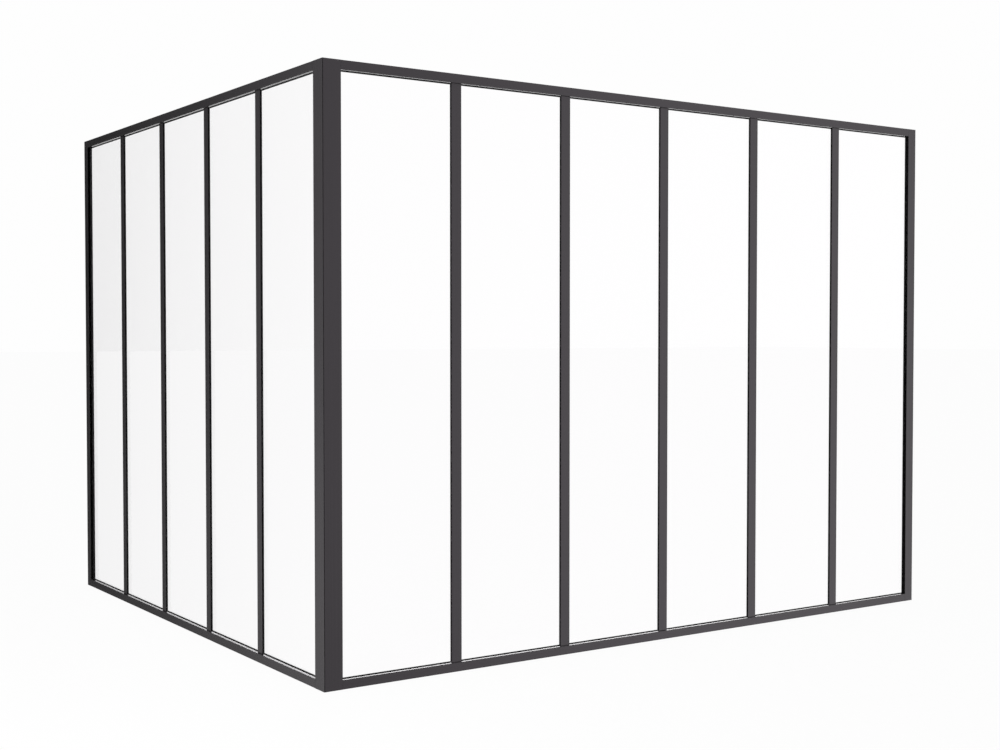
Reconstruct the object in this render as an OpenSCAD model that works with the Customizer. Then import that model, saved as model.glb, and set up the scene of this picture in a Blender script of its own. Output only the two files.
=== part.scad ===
// Corner glass partition: two slim glazed screens that meet at a right angle.
// Each screen is a frame of hollow aluminium extrusions with upright glazing bars on one face.
// The right screen runs along +X and the left screen along +Y.
// The origin is the foot of the outer corner, and the outer faces lie on Y = 0 and X = 0.

/* [Screens] */
// Height of both screens
height = 1308; // [600:1:2600]
// Panes in the right screen
right_panes = 6; // [2:1:6]
// Panes in the left screen
left_panes = 5; // [2:1:5]
// Clear width of one pane
pane_w = 271.2; // [120:0.1:600]

/* [Frame extrusion] */
// Face height of the top and bottom rails
rail_face = 20; // [16:0.5:60]
// Face width of the two stiles at the outer corner
corner_face = 43; // [34:0.5:90]
// Face width of the stile at the free end of each screen
end_face = 29; // [20:0.5:80]
// Depth of the frame from its outer face to its inner face
frame_depth = 17; // [16.5:0.5:30]
// Thickness of the extrusion's outer walls
wall = 1.6; // [1:0.1:2]
// Thickness of the wall under the glass, which carries the bead's groove
floor_wall = 2.4; // [2:0.1:3]
// Height of the front leg above the floor of the rebate
rebate_h = 8.5; // [7:0.1:8.5]
// Depth of the front leg
leg_depth = 7; // [6:0.1:7.5]
// Radius along the edges of the outer faces
edge_r = 0.6; // [0.2:0.1:1]
// Width and depth of the shadow groove beside the outer arris
arris_groove = 1.5; // [0.5:0.1:1.8]

/* [Glazing bars] */
// Face width of an upright glazing bar
bar_face = 26; // [22:0.5:60]
// Thickness of a glazing bar's flange
bar_t = 2.5; // [2:0.1:3.5]
// Thickness of the web between two panes
web_t = 4; // [2:0.1:6]

/* [Glass and seals] */
// Thickness of the glass
glass_t = 4; // [3:0.5:4]
// Thickness of the seal in front of the glass
front_seal_t = 2.5; // [1.5:0.1:2.5]
// Thickness of the seal behind the glass
rear_seal_t = 1; // [0.5:0.1:1]
// Gap between the edge of the glass and the floor of the rebate
edge_gap = 1.5; // [1:0.1:3]
// Height of the front seal's lip above the frame's front leg
frame_lip = 3; // [0.5:0.1:5]
// Width of the front seal's lip beside a glazing bar
bar_lip = 0.5; // [0.2:0.1:3]

/* [Glazing beads] */
// Height of a bead above the floor of the rebate
bead_h = 4.5; // [4:0.1:7]
// Thickness of the bead's clip
clip_t = 1; // [0.6:0.1:1]
// Length of the bead's clip
clip_h = 1.1; // [0.8:0.1:1.1]
// Clearance around the bead's clip
clip_gap = 0.1; // [0.05:0.01:0.2]

/* [Corner angle and end plugs] */
// Width of each leg of the angle in the inner corner
angle_leg = 15; // [10:0.5:16]
// Thickness of the angle
angle_t = 2; // [1:0.1:4]
// Thickness of the plugs in the ends of the stiles
plug_t = 3; // [1.5:0.1:6]

/* [Fixing holes] */
// Fixing holes in each bottom rail and in each end stile
fixings = 3; // [2:1:4]
// Diameter of a fixing hole
fixing_d = 4; // [3:0.1:5]
// Diameter of the hole over it that lets the screw head and the driver pass
access_d = 7.2; // [6:0.1:9]
// Distance from the ends of a bottom rail to its first fixing hole
base_inset = 175; // [90:1:250]
// Distance from the ends of an end stile to its first fixing hole
side_inset = 154; // [60:1:250]

/* [Hidden] */
NODES = concat(
    ["corner_angle"],
    [for (side = ["right", "left"]) for (piece = [
        "top_rail", "bottom_rail", "corner_stile", "end_stile", "top_bead", "bottom_bead",
        "corner_bead", "end_bead", "pane_seals", "stile_plugs"]) str(side, "_", piece)],
    [for (i = [1 : right_panes - 1]) str("right_bar_", i)],
    [for (i = [1 : left_panes - 1]) str("left_bar_", i)],
    [for (i = [1 : right_panes]) str("right_glass_", i)],
    [for (i = [1 : left_panes]) str("left_glass_", i)]);
node = "all";

$fn = 32;
cut = 1;

frame_black = "#3a3a3c";
seal_black = "#101010";
plug_grey = "#2a2a2a";
glass_tint = [0.86, 0.92, 0.9, 0.35];

pitch = pane_w + bar_face;
right_len = screen_len(right_panes);
left_len = screen_len(left_panes);
rail_floor = rail_face - rebate_h;
corner_floor = corner_face - rebate_h;
end_floor = end_face - rebate_h;
// Depths behind the outer face, from front to back
glass_front = leg_depth + front_seal_t;
glass_back = glass_front + glass_t;
bead_front = glass_back + rear_seal_t;
bar_front = leg_depth - bar_t;
bead_t = frame_depth - bead_front;
clip_front = bead_front + (bead_t - clip_t) / 2;
// From the middle of a glazing bar to the edge of the pane beside it
web_side = web_t / 2;
bar_overlap = bar_face / 2 - web_side;
// The driver passes between the front leg and the place of the bead
fixing_depth = (leg_depth + bead_front) / 2;

function screen_len(panes) =
    corner_face + panes * pane_w + (panes - 1) * bar_face + end_face;
// Start of the clear opening of a pane, counted from 1 at the corner
function pane_start(i) = corner_face + (i - 1) * pitch;
// How far the rebate runs past the clear opening on the two sides of a pane
function near_pocket(i) = i == 1 ? rebate_h : bar_overlap;
function far_pocket(i, panes) = i == panes ? rebate_h : bar_overlap;
function near_lip(i) = i == 1 ? frame_lip : bar_lip;
function far_lip(i, panes) = i == panes ? frame_lip : bar_lip;
// Places of the fixing holes along a length
function fixing_places(length, inset) =
    [for (k = [0 : fixings - 1]) inset + k * (length - 2 * inset) / (fixings - 1)];

// A screen is drawn along +X with its depth along +Y, and the left one is its mirror image.
module on_side(left) {
    if (left) mirror([1, -1, 0]) children();
    else children();
}

// Takes a sharp corner at the origin of the first quadrant down to a radius
module rounding(r) {
    difference() {
        translate([-cut, -cut]) square(r + cut);
        translate([r, r]) circle(r);
        translate([r, -2 * cut]) square(r + 3 * cut);
        translate([-2 * cut, r]) square(r + 3 * cut);
    }
}

// Sections are drawn with X as the height above the outer edge and Y as the depth.
module main_void(floor_h) {
    translate([wall, wall]) square([floor_h - wall - floor_wall, frame_depth - 2 * wall]);
}

module leg_void(floor_h) {
    translate([floor_h, wall]) square([rebate_h - wall, leg_depth - 2 * wall]);
}

module bead_groove(floor_h) {
    translate([floor_h - clip_h - clip_gap, clip_front - clip_gap])
        square([clip_h + clip_gap + cut, clip_t + 2 * clip_gap]);
}

module frame_section(face) {
    floor_h = face - rebate_h;
    difference() {
        union() {
            square([floor_h, frame_depth]);
            square([face, leg_depth]);
        }
        main_void(floor_h);
        leg_void(floor_h);
        bead_groove(floor_h);
        rounding(edge_r);
        translate([face, 0]) mirror([1, 0]) rounding(edge_r);
    }
}

// The chamber of a corner stile follows the mitre at an even wall thickness.
module corner_void() {
    slant = wall * sqrt(2);
    polygon([
        [wall + slant, wall],
        [corner_floor - floor_wall, wall],
        [corner_floor - floor_wall, frame_depth - wall],
        [frame_depth - wall + slant, frame_depth - wall]]);
}

module corner_section(grooved) {
    difference() {
        union() {
            polygon([[0, 0], [corner_floor, 0], [corner_floor, frame_depth], [frame_depth, frame_depth]]);
            translate([corner_floor, 0]) square([rebate_h, leg_depth]);
        }
        corner_void();
        leg_void(corner_floor);
        bead_groove(corner_floor);
        translate([corner_face, 0]) mirror([1, 0]) rounding(edge_r);
        if (grooved) translate([-cut, -cut]) square(arris_groove + cut);
    }
}

// Lays a section along the screen, with its outer edge on the floor
module lay(from, to) {
    translate([from, 0, 0]) rotate([90, 0, 90]) linear_extrude(to - from) mirror([1, -1]) children();
}

module at_top() {
    translate([0, 0, height]) mirror([0, 0, 1]) children();
}

module at_end(panes) {
    translate([screen_len(panes), 0, 0]) mirror([1, 0, 0]) children();
}

// A rail runs between the chambers of its stiles and is notched around their front legs.
module rail(panes) {
    len = screen_len(panes);
    difference() {
        lay(corner_floor, len - end_floor) frame_section(rail_face);
        for (x = [corner_floor - cut, len - end_face])
            translate([x, -cut, -cut]) cube([rebate_h + cut, leg_depth + cut, rail_face + 2 * cut]);
    }
}

module bottom_rail(panes) {
    len = screen_len(panes);
    difference() {
        rail(panes);
        for (x = fixing_places(len, base_inset)) translate([x, fixing_depth, 0]) {
            translate([0, 0, -cut]) cylinder(h = rail_floor, d = fixing_d);
            translate([0, 0, wall + cut]) cylinder(h = rail_floor, d = access_d);
        }
    }
}

module end_stile(panes) {
    difference() {
        at_end(panes) linear_extrude(height) frame_section(end_face);
        for (z = fixing_places(height, side_inset))
            at_end(panes) translate([0, fixing_depth, z]) rotate([0, 90, 0]) {
                translate([0, 0, -cut]) cylinder(h = end_floor, d = fixing_d);
                translate([0, 0, wall + cut]) cylinder(h = end_floor, d = access_d);
            }
    }
}

module corner_stile(grooved) {
    linear_extrude(height) corner_section(grooved);
}

// A flange that covers the joint of two panes, with a thin web that stands between them
module bar_section() {
    difference() {
        union() {
            translate([-bar_face / 2, bar_front]) square([bar_face, bar_t]);
            translate([-web_side, bar_front]) square([web_t, glass_back - bar_front]);
        }
        translate([-bar_face / 2, bar_front]) rounding(edge_r);
        translate([bar_face / 2, bar_front]) mirror([1, 0]) rounding(edge_r);
    }
}

// The web reaches into the rebates of both rails, and the flange is cut back between their front legs.
module glazing_bar(i) {
    translate([pane_start(i + 1) - bar_face / 2, 0, 0]) difference() {
        translate([0, 0, rail_floor]) linear_extrude(height - 2 * rail_floor) bar_section();
        for (z = [rail_floor - cut, height - rail_face])
            translate([-bar_face / 2 - cut, bar_front - cut, z])
                cube([bar_face + 2 * cut, bar_t + cut, rebate_h + cut]);
    }
}

// A box between two distances along the screen, two depths and two equal margins from its edges
module slab(x0, x1, y0, y1, margin) {
    translate([x0, y0, margin]) cube([x1 - x0, y1 - y0, height - 2 * margin]);
}

module glass(i, panes) {
    slab(pane_start(i) - near_pocket(i) + edge_gap,
        pane_start(i) + pane_w + far_pocket(i, panes) - edge_gap,
        glass_front, glass_back, rail_floor + edge_gap);
}

// The channel of soft seal that wraps the edge of one pane
module pane_seal(i, panes) {
    x0 = pane_start(i) - near_pocket(i);
    x1 = pane_start(i) + pane_w + far_pocket(i, panes);
    difference() {
        slab(x0, x1, leg_depth, glass_back, rail_floor);
        glass(i, panes);
        slab(pane_start(i) + near_lip(i), pane_start(i) + pane_w - far_lip(i, panes),
            leg_depth - cut, glass_back + cut, rail_face + frame_lip);
    }
    // The rear lip runs only where a bead backs it
    difference() {
        slab(x0, x1, glass_back, bead_front, rail_floor);
        slab(i == 1 ? x0 + bead_h : x0 - cut, i == panes ? x1 - bead_h : x1 + cut,
            glass_back - cut, bead_front + cut, rail_floor + bead_h);
    }
}

// Snap-in bead, drawn in the same way as the frame's sections
module bead_section(floor_h) {
    difference() {
        translate([floor_h, bead_front]) square([bead_h, bead_t]);
        translate([floor_h + bead_h, frame_depth]) rotate(180) rounding(edge_r);
    }
    translate([floor_h - clip_h, clip_front]) square([clip_h + clip_gap, clip_t]);
}

module rail_bead(panes) {
    lay(corner_floor, screen_len(panes) - end_floor) bead_section(rail_floor);
}

// The upright beads stand between the rails' beads.
module stile_bead(floor_h) {
    margin = rail_floor + bead_h;
    translate([0, 0, margin]) linear_extrude(height - 2 * margin) bead_section(floor_h);
}

module plug_pair() {
    linear_extrude(plug_t) children();
    at_top() linear_extrude(plug_t) children();
}

module stile_plugs(panes) {
    plug_pair() corner_void();
    plug_pair() leg_void(corner_floor);
    at_end(panes) {
        plug_pair() main_void(end_floor);
        plug_pair() leg_void(end_floor);
    }
}

module corner_angle() {
    color(frame_black) translate([frame_depth, frame_depth, 0]) linear_extrude(height) {
        square([angle_leg, angle_t]);
        square([angle_t, angle_leg]);
    }
}

module screen(side, left, panes) {
    if (drawn(str(side, "_top_rail"))) color(frame_black) on_side(left) at_top() rail(panes);
    if (drawn(str(side, "_bottom_rail"))) color(frame_black) on_side(left) bottom_rail(panes);
    if (drawn(str(side, "_corner_stile"))) color(frame_black) on_side(left) corner_stile(!left);
    if (drawn(str(side, "_end_stile"))) color(frame_black) on_side(left) end_stile(panes);
    if (drawn(str(side, "_top_bead"))) color(frame_black) on_side(left) at_top() rail_bead(panes);
    if (drawn(str(side, "_bottom_bead"))) color(frame_black) on_side(left) rail_bead(panes);
    if (drawn(str(side, "_corner_bead"))) color(frame_black) on_side(left) stile_bead(corner_floor);
    if (drawn(str(side, "_end_bead")))
        color(frame_black) on_side(left) at_end(panes) stile_bead(end_floor);
    if (drawn(str(side, "_pane_seals")))
        color(seal_black) on_side(left) for (i = [1 : panes]) pane_seal(i, panes);
    if (drawn(str(side, "_stile_plugs"))) color(plug_grey) on_side(left) stile_plugs(panes);
    for (i = [1 : panes - 1])
        if (drawn(str(side, "_bar_", i))) color(frame_black) on_side(left) glazing_bar(i);
    for (i = [1 : panes])
        if (drawn(str(side, "_glass_", i))) color(glass_tint) on_side(left) glass(i, panes);
}

function drawn(name) = node == "all" || node == name;

if (drawn("corner_angle")) corner_angle();
screen("right", false, right_panes);
screen("left", true, left_panes);
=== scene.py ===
import math

import bpy
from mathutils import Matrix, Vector


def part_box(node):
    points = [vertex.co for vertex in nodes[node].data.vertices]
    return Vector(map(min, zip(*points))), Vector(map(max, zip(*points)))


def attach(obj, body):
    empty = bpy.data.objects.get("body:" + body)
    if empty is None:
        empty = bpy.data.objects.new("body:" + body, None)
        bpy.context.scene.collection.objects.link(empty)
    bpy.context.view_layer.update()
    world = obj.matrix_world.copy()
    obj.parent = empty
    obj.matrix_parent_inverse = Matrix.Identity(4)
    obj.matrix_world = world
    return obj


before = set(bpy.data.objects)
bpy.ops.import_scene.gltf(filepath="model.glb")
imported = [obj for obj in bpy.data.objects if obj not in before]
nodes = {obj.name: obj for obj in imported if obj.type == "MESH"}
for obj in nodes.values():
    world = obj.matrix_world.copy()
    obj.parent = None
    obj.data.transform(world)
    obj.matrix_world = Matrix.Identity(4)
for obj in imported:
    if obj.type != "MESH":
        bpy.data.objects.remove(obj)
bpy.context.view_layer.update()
bpy.ops.object.select_all(action="DESELECT")


# Rails, stiles and the corner angle
# Aluminium extrusions, pressed through a die that leaves faint lines along them, sawn to length and
# anodised in a satin black. The angle is solid, and the others are hollow.
frame_black = (0.029, 0.026, 0.029)
# Painted shade for the sides of end stiles and bars that face the panes beside them: near black, for
# the shade that falls on those sides
painted_shade_black = (0.004, 0.004, 0.004)
# A side faces an axis where its normal reaches further than this along it
facing_limit = 0.9
# The oxide film weakens the green in what it mirrors
film_tint = (1.0, 0.92, 1.0)
# The dye takes up to this share lighter or darker, and the gloss changes with it
dye_drift = 0.14
smoothest_roughness = 0.17
dullest_roughness = 0.24
# Die lines make up this share of that change, and a slow drift makes up the rest
line_share = 0.55
line_depth = 0.00004
grain_depth = 0.00002
# The part of a noise's range over which dye and gloss change
noise_low = 0.3
noise_high = 0.7


def link(tree, source, target):
    tree.links.new(source, target)


def math_node(tree, operation, first, second):
    """The result of a math node on two values, each of them a socket or a number."""
    node = tree.nodes.new("ShaderNodeMath")
    node.operation = operation
    for socket, value in zip(node.inputs, (first, second)):
        if isinstance(value, float):
            socket.default_value = value
        else:
            link(tree, value, socket)
    return node.outputs["Value"]


def anodised_finish(name, along, painted_shade_sides=None):
    """Satin black with die lines along one axis.

    The last argument is an axis with "minus" or "both"; the sides that face it get painted shade,
    near black and mirroring nothing.
    """
    material = bpy.data.materials.new(name)
    material.use_nodes = True
    tree = material.node_tree
    shader = tree.nodes["Principled BSDF"]
    shader.inputs["IOR"].default_value = 1.5
    shader.inputs["Specular Tint"].default_value = (*film_tint, 1.0)
    place = tree.nodes.new("ShaderNodeTexCoord")

    def pattern(across, lengthwise, detail):
        stretch = tree.nodes.new("ShaderNodeMapping")
        scale = [across] * 3
        scale["XYZ".index(along)] = lengthwise
        stretch.inputs["Scale"].default_value = scale
        noise = tree.nodes.new("ShaderNodeTexNoise")
        noise.inputs["Scale"].default_value = 1.0
        noise.inputs["Detail"].default_value = detail
        link(tree, place.outputs["Object"], stretch.inputs["Vector"])
        link(tree, stretch.outputs["Vector"], noise.inputs["Vector"])
        return noise.outputs["Fac"]

    # Die lines about 1.5 mm apart, a finer grain, and a slow drift of the dye
    lines = pattern(across=650.0, lengthwise=1.2, detail=2.0)
    grain = pattern(across=2600.0, lengthwise=2600.0, detail=1.0)
    drift = pattern(across=9.0, lengthwise=2.5, detail=3.0)

    tone = tree.nodes.new("ShaderNodeMix")
    tone.data_type = "FLOAT"
    tone.inputs["Factor"].default_value = line_share
    link(tree, drift, tone.inputs["A"])
    link(tree, lines, tone.inputs["B"])
    dye = tree.nodes.new("ShaderNodeValToRGB")
    shares = ((noise_low, 1.0 - dye_drift), (noise_high, 1.0 + dye_drift))
    for stop, (position, share) in zip(dye.color_ramp.elements, shares):
        stop.position = position
        stop.color = (*[share * c for c in frame_black], 1.0)
    link(tree, tone.outputs["Result"], dye.inputs["Fac"])
    if painted_shade_sides is None:
        link(tree, dye.outputs["Color"], shader.inputs["Base Color"])
    else:
        axis, sign = painted_shade_sides
        normal = tree.nodes.new("ShaderNodeSeparateXYZ")
        link(tree, place.outputs["Normal"], normal.inputs["Vector"])
        operation = "ABSOLUTE" if sign == "both" else "MULTIPLY"
        turned = math_node(tree, operation, normal.outputs[axis], -1.0)
        painted_shade_mask = math_node(tree, "GREATER_THAN", turned, facing_limit)
        black = tree.nodes.new("ShaderNodeMix")
        black.data_type = "RGBA"
        black.inputs["B"].default_value = (*painted_shade_black, 1.0)
        link(tree, painted_shade_mask, black.inputs["Factor"])
        link(tree, dye.outputs["Color"], black.inputs["A"])
        link(tree, black.outputs["Result"], shader.inputs["Base Color"])
        # Painted shade: these sides are made a metal too, so that they mirror nothing
        link(tree, painted_shade_mask, shader.inputs["Metallic"])

    gloss = tree.nodes.new("ShaderNodeMapRange")
    gloss.inputs["From Min"].default_value = noise_low
    gloss.inputs["From Max"].default_value = noise_high
    gloss.inputs["To Min"].default_value = smoothest_roughness
    gloss.inputs["To Max"].default_value = dullest_roughness
    link(tree, tone.outputs["Result"], gloss.inputs["Value"])
    link(tree, gloss.outputs["Result"], shader.inputs["Roughness"])

    fine = tree.nodes.new("ShaderNodeBump")
    fine.inputs["Strength"].default_value = 0.25
    fine.inputs["Distance"].default_value = grain_depth
    link(tree, grain, fine.inputs["Height"])
    drawn = tree.nodes.new("ShaderNodeBump")
    drawn.inputs["Strength"].default_value = 0.5
    drawn.inputs["Distance"].default_value = line_depth
    link(tree, lines, drawn.inputs["Height"])
    link(tree, fine.outputs["Normal"], drawn.inputs["Normal"])
    link(tree, drawn.outputs["Normal"], shader.inputs["Normal"])
    return material


def finish_node(name, material):
    nodes[name].data.materials.clear()
    nodes[name].data.materials.append(material)


along_x = anodised_finish("black_anodised_along_x", "X")
along_y = anodised_finish("black_anodised_along_y", "Y")
upright = anodised_finish("black_anodised_upright", "Z")
for side, rail_finish, axis in (("right", along_x, "X"), ("left", along_y, "Y")):
    for rail in ("top_rail", "bottom_rail"):
        finish_node(f"{side}_{rail}", rail_finish)
    finish_node(f"{side}_corner_stile", upright)
    # The sides of the end stile that face the panes get painted shade, near black and mirroring
    # nothing
    end_finish = anodised_finish(f"black_anodised_{side}_end", "Z", (axis, "minus"))
    finish_node(f"{side}_end_stile", end_finish)
finish_node("corner_angle", upright)


# Glazing bars
# T-shaped bars of the same anodised aluminium, with painted shade on their sides: near black and
# mirroring nothing. The flange fits between the rails' front legs, and the panes' seals are bonded to
# its back on both sides of the web.
for side, axis in (("right", "X"), ("left", "Y")):
    bar_finish = anodised_finish(f"black_anodised_{side}_bar", "Z", (axis, "both"))
    for name in nodes:
        if name.startswith(f"{side}_bar_"):
            finish_node(name, bar_finish)


# Glazing beads
# Thin snap-in strips of the same aluminium that hold the glass from the inner side. The rails' beads
# run from stile to stile, and the stiles' beads stand between them.
for side, rail_finish in (("right", along_x), ("left", along_y)):
    for bead in ("top_bead", "bottom_bead"):
        finish_node(f"{side}_{bead}", rail_finish)
    for bead in ("corner_bead", "end_bead"):
        finish_node(f"{side}_{bead}", upright)


# Seals
# Extruded black rubber channels, wrapped round the edge of each pane before it goes into the frame.
# Rubber is matt, slightly dusty, and swallows most of the light in the gap in front of the glass.
clean_rubber = (0.015, 0.015, 0.016)
dusty_rubber = (0.032, 0.032, 0.033)
rubber = bpy.data.materials.new("black_rubber")
rubber.use_nodes = True
tree = rubber.node_tree
shader = tree.nodes["Principled BSDF"]
shader.inputs["Roughness"].default_value = 0.7
shader.inputs["Specular IOR Level"].default_value = 0.2
place = tree.nodes.new("ShaderNodeTexCoord")
speckle = tree.nodes.new("ShaderNodeTexNoise")
speckle.inputs["Scale"].default_value = 900.0
speckle.inputs["Detail"].default_value = 3.0
link(tree, place.outputs["Object"], speckle.inputs["Vector"])
dust = tree.nodes.new("ShaderNodeValToRGB")
dust.color_ramp.elements[0].color = (*clean_rubber, 1.0)
dust.color_ramp.elements[1].color = (*dusty_rubber, 1.0)
link(tree, speckle.outputs["Fac"], dust.inputs["Fac"])
link(tree, dust.outputs["Color"], shader.inputs["Base Color"])
skin = tree.nodes.new("ShaderNodeBump")
skin.inputs["Strength"].default_value = 0.3
skin.inputs["Distance"].default_value = 0.00005
link(tree, speckle.outputs["Fac"], skin.inputs["Height"])
link(tree, skin.outputs["Normal"], shader.inputs["Normal"])
for side in ("right", "left"):
    seals = nodes[f"{side}_pane_seals"]
    finish_node(seals.name, rubber)
    # The rails' narrow ledges mirror the backdrop past the thin lip
    seals.visible_glossy = False
    seals.visible_transmission = False
    seals.visible_shadow = False


# Panes
# Clear toughened float glass, 4 mm thick with polished edges and an anti-reflective coat. A few dry
# wiping marks show only in what it mirrors.
glass_colour = (1.0, 0.996, 1.0)
# The coat leaves far less mirror than bare glass, as glass of this index would
coated_index = 1.14
wiped_haze = 0.03
glass = bpy.data.materials.new("clear_float_glass")
glass.use_nodes = True
tree = glass.node_tree
shader = tree.nodes["Principled BSDF"]
shader.inputs["Base Color"].default_value = (*glass_colour, 1.0)
shader.inputs["Transmission Weight"].default_value = 1.0
shader.inputs["IOR"].default_value = coated_index
place = tree.nodes.new("ShaderNodeTexCoord")
wiping = tree.nodes.new("ShaderNodeMapping")
wiping.inputs["Scale"].default_value = (14.0, 14.0, 2.0)
marks = tree.nodes.new("ShaderNodeTexNoise")
marks.inputs["Scale"].default_value = 1.0
marks.inputs["Detail"].default_value = 4.0
link(tree, place.outputs["Object"], wiping.inputs["Vector"])
link(tree, wiping.outputs["Vector"], marks.inputs["Vector"])
haze = tree.nodes.new("ShaderNodeMapRange")
haze.inputs["From Min"].default_value = 0.45
haze.inputs["From Max"].default_value = 0.8
haze.inputs["To Min"].default_value = 0.0
haze.inputs["To Max"].default_value = wiped_haze
link(tree, marks.outputs["Fac"], haze.inputs["Value"])
link(tree, haze.outputs["Result"], shader.inputs["Roughness"])
# Light from the lamp and the room passes straight through a pane
clear = tree.nodes.new("ShaderNodeBsdfTransparent")
path = tree.nodes.new("ShaderNodeLightPath")
pane = tree.nodes.new("ShaderNodeMixShader")
link(tree, path.outputs["Is Shadow Ray"], pane.inputs["Fac"])
link(tree, shader.outputs["BSDF"], pane.inputs[1])
link(tree, clear.outputs["BSDF"], pane.inputs[2])
link(tree, pane.outputs["Shader"], tree.nodes["Material Output"].inputs["Surface"])
for name in nodes:
    if "_glass_" in name:
        finish_node(name, glass)


# Screws of the corner angle
# Button-head screws of blackened steel with a hexagon socket, cold-formed and tumbled. Two rows of
# five hold the angle in the inner corner to both corner stiles.
angle_low, angle_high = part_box("corner_angle")
angle_t = 0.002
head_radius = 0.00285
head_height = 0.0016
dome_width = 0.85 * head_height
socket_radius = 0.00125
socket_depth = 0.001
screws_in_row = 5
first_screw = 0.104
# Each screw stops at another turn, and those of the two rows differ too
turn_per_screw = 0.4
turn_per_row = 0.2
bpy.ops.mesh.primitive_cylinder_add(
    vertices=48, radius=head_radius, depth=head_height, location=(0, 0, head_height / 2))
head = bpy.context.object
bpy.ops.mesh.primitive_cylinder_add(
    vertices=6, radius=socket_radius, depth=2 * socket_depth, location=(0, 0, head_height))
socket = bpy.context.object
dome = head.modifiers.new("dome", "BEVEL")
dome.width = dome_width
dome.segments = 6
drill = head.modifiers.new("socket", "BOOLEAN")
drill.object = socket
bpy.context.view_layer.objects.active = head
for modifier in ("dome", "socket"):
    bpy.ops.object.modifier_apply(modifier=modifier)
bpy.data.objects.remove(socket)
head.select_set(True)
bpy.ops.object.transform_apply()
head.select_set(False)


def drive_screw(place, tilt):
    """A copy of the head with its seat at place, turned by its tilt to face out of the angle."""
    screw = bpy.data.objects.new("screw", head.data.copy())
    bpy.context.scene.collection.objects.link(screw)
    screw.location = place
    # The turn in its seat comes first, and then the tilt
    screw.rotation_mode = "ZYX"
    screw.rotation_euler = tilt
    screw.select_set(True)
    return screw


face_along = angle_low.x + angle_t
row_along = (face_along + angle_high.x) / 2
row_height = angle_high.z - 2 * first_screw
quarter_turn = math.radians(90.0)
screws = []
for k in range(screws_in_row):
    up = first_screw + k * row_height / (screws_in_row - 1)
    turn = turn_per_screw * k
    screws.append(drive_screw((row_along, face_along, up), (-quarter_turn, 0, turn)))
    screws.append(drive_screw(
        (face_along, row_along, up), (0, quarter_turn, turn + turn_per_row)))
bpy.data.objects.remove(head)
bpy.context.view_layer.objects.active = screws[0]
bpy.ops.object.join()
angle_screws = bpy.context.object
angle_screws.name = "angle_screws"
bpy.ops.object.transform_apply()
bpy.ops.object.shade_smooth_by_angle(angle=math.radians(35.0))

blackened_steel = (0.06, 0.058, 0.056)
steel = bpy.data.materials.new("blackened_steel")
steel.use_nodes = True
tree = steel.node_tree
shader = tree.nodes["Principled BSDF"]
shader.inputs["Base Color"].default_value = (*blackened_steel, 1.0)
shader.inputs["Metallic"].default_value = 1.0
place = tree.nodes.new("ShaderNodeTexCoord")
oxide = tree.nodes.new("ShaderNodeTexNoise")
oxide.inputs["Scale"].default_value = 1200.0
oxide.inputs["Detail"].default_value = 4.0
link(tree, place.outputs["Object"], oxide.inputs["Vector"])
wear = tree.nodes.new("ShaderNodeMapRange")
wear.inputs["To Min"].default_value = 0.28
wear.inputs["To Max"].default_value = 0.5
link(tree, oxide.outputs["Fac"], wear.inputs["Value"])
link(tree, wear.outputs["Result"], shader.inputs["Roughness"])
angle_screws.data.materials.clear()
angle_screws.data.materials.append(steel)
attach(angle_screws, "root")


# End plugs
# Moulded black plastic, pushed into the open chambers at the head and foot of each stile until
# they lie flush. The moulding leaves an even spark-eroded grain.
plug_black = (0.022, 0.022, 0.023)
plastic = bpy.data.materials.new("black_moulded_plastic")
plastic.use_nodes = True
tree = plastic.node_tree
shader = tree.nodes["Principled BSDF"]
shader.inputs["Base Color"].default_value = (*plug_black, 1.0)
place = tree.nodes.new("ShaderNodeTexCoord")
grain = tree.nodes.new("ShaderNodeTexVoronoi")
grain.inputs["Scale"].default_value = 1800.0
link(tree, place.outputs["Object"], grain.inputs["Vector"])
pits = tree.nodes.new("ShaderNodeBump")
pits.inputs["Strength"].default_value = 0.4
pits.inputs["Distance"].default_value = 0.00005
link(tree, grain.outputs["Distance"], pits.inputs["Height"])
link(tree, pits.outputs["Normal"], shader.inputs["Normal"])
sheen = tree.nodes.new("ShaderNodeMapRange")
sheen.inputs["To Min"].default_value = 0.45
sheen.inputs["To Max"].default_value = 0.6
link(tree, grain.outputs["Distance"], sheen.inputs["Value"])
link(tree, sheen.outputs["Result"], shader.inputs["Roughness"])
for side in ("right", "left"):
    finish_node(f"{side}_stile_plugs", plastic)


# Studio floor
# A pale matt floor that runs out to the horizon. The camera sees it nearly white, straight or
# through the panes, with a faint shadow under the screens.
floor_half = 60.0
floor_white = (0.9, 0.9, 0.9)
# The share that stays lit paint, so that the shadow shows
paint_share = 0.045
bpy.ops.mesh.primitive_plane_add(size=2 * floor_half, location=(0, 0, 0))
floor = bpy.context.object
floor.name = "studio_floor"
floor_paint = bpy.data.materials.new("pale_floor")
floor_paint.use_nodes = True
tree = floor_paint.node_tree
shader = tree.nodes["Principled BSDF"]
shader.inputs["Base Color"].default_value = (*floor_white, 1.0)
shader.inputs["Roughness"].default_value = 1.0
shader.inputs["Specular IOR Level"].default_value = 0.0
white = tree.nodes.new("ShaderNodeEmission")
path = tree.nodes.new("ShaderNodeLightPath")
seen = math_node(
    tree, "MAXIMUM", path.outputs["Is Camera Ray"], path.outputs["Is Transmission Ray"])
share = math_node(tree, "MULTIPLY", seen, 1.0 - paint_share)
mix = tree.nodes.new("ShaderNodeMixShader")
link(tree, share, mix.inputs["Fac"])
link(tree, shader.outputs["BSDF"], mix.inputs[1])
link(tree, white.outputs["Emission"], mix.inputs[2])
link(tree, mix.outputs["Shader"], tree.nodes["Material Output"].inputs["Surface"])
floor.data.materials.append(floor_paint)
# It throws no light up at the frame, which mirrors the room's walls instead
floor.visible_glossy = False
floor.visible_diffuse = False


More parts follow.
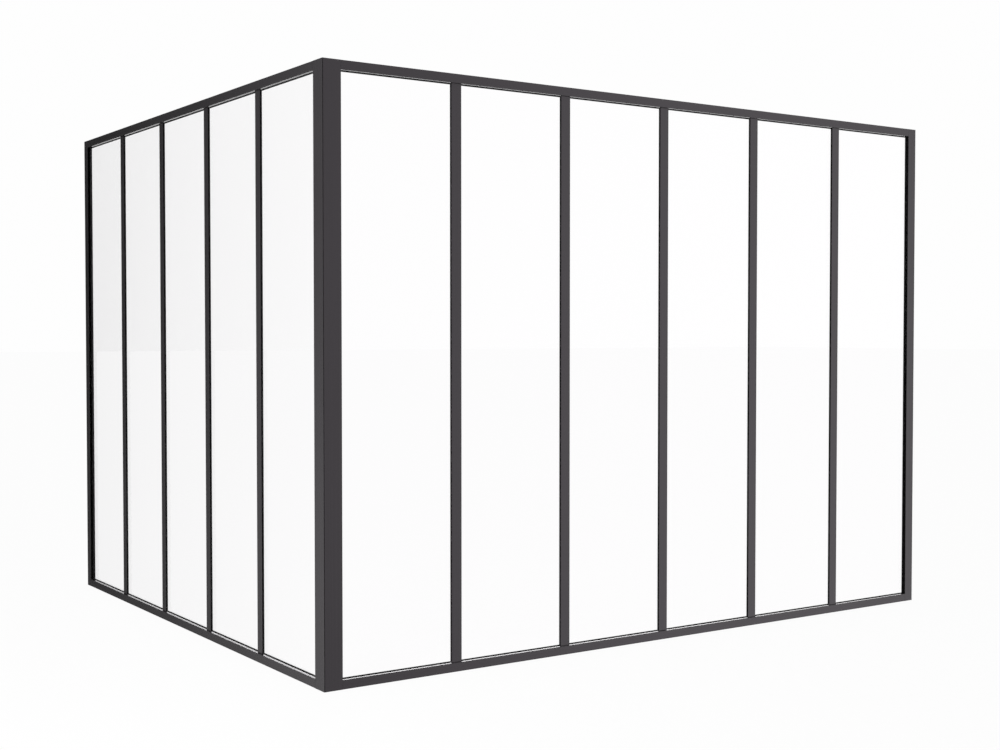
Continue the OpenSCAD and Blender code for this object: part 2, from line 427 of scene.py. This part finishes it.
# Camera
# It stands 2.9 m from the outer corner and 0.74 m above the floor, and looks down by 1.6 degrees.
camera_data = bpy.data.cameras.new("camera")
camera = bpy.data.objects.new("camera", camera_data)
bpy.context.scene.collection.objects.link(camera)
camera_data.lens = 50.946
camera_data.sensor_width = 36.0
camera_data.clip_end = 200.0
camera.location = (-1.3317, -2.6140, 0.7405)
camera.rotation_euler = (math.radians(88.378), 0.0, math.radians(-34.114))
bpy.context.scene.camera = camera


# Studio light
# Soft glows stand for a white backdrop, a pale wall for each screen to mirror and a dim ceiling. The
# room is dark between them, and a lamp close to the corner lets the left screen fall off from there.
backdrop_white = 0.99
world = bpy.data.worlds.new("studio")
bpy.context.scene.world = world
world.use_nodes = True
tree = world.node_tree
room = tree.nodes["Background"]
room.inputs["Color"].default_value = (1.0, 1.0, 1.0, 1.0)
direction = tree.nodes.new("ShaderNodeTexCoord")
# Azimuth and elevation in degrees, spread and strength of each glow
wall_glows = (
    (55.0, 20.0, 16.0, 3.1),
    (55.0, -20.0, 16.0, 2.3),
    (-46.0, 14.0, 16.0, 1.2),
    (-46.0, -14.0, 16.0, 1.55),
    (135.0, -12.0, 32.0, 2.7),
    (135.0, 12.0, 32.0, 1.0),
    (0.0, 90.0, 2.0, 0.7),
)
walls = 0.0
for azimuth, elevation, spread, strength in wall_glows:
    around, up = math.radians(azimuth), math.radians(elevation)
    toward = tree.nodes.new("ShaderNodeVectorMath")
    toward.operation = "DOT_PRODUCT"
    toward.inputs[1].default_value = (
        math.cos(up) * math.cos(around), math.cos(up) * math.sin(around), math.sin(up))
    link(tree, direction.outputs["Generated"], toward.inputs[0])
    facing = math_node(tree, "MAXIMUM", toward.outputs["Value"], 0.0)
    glow = math_node(tree, "MULTIPLY", math_node(tree, "POWER", facing, spread), strength)
    walls = math_node(tree, "ADD", walls, glow)
# The camera sees plain white, straight or through the panes, and all else sees the walls
path = tree.nodes.new("ShaderNodeLightPath")
met = math_node(tree, "ADD", path.outputs["Glossy Depth"], path.outputs["Diffuse Depth"])
not_met = math_node(tree, "LESS_THAN", met, 0.5)
through = math_node(tree, "MULTIPLY", not_met, path.outputs["Is Transmission Ray"])
seen = math_node(tree, "MAXIMUM", through, path.outputs["Is Camera Ray"])
backdrop = tree.nodes.new("ShaderNodeMix")
backdrop.data_type = "FLOAT"
backdrop.inputs["B"].default_value = backdrop_white
link(tree, seen, backdrop.inputs["Factor"])
link(tree, walls, backdrop.inputs["A"])
link(tree, backdrop.outputs["Result"], room.inputs["Strength"])

lamp_place = Vector((-1.2, -0.9, 1.1))
lamp_aim = Vector((0.0, 0.1, 0.8))
softbox = bpy.data.lights.new("corner_softbox", "AREA")
softbox.shape = "RECTANGLE"
softbox.size = 0.8
softbox.size_y = 1.4
softbox.energy = 26.0
lamp = bpy.data.objects.new("corner_softbox", softbox)
bpy.context.scene.collection.objects.link(lamp)
lamp.location = lamp_place
lamp.rotation_euler = (lamp_aim - lamp_place).to_track_quat("-Z", "Y").to_euler()
# It lights the frame, but isn't seen or mirrored itself
lamp.visible_camera = False
lamp.visible_glossy = False
lamp.visible_transmission = False

bpy.context.scene.view_settings.view_transform = "Standard"
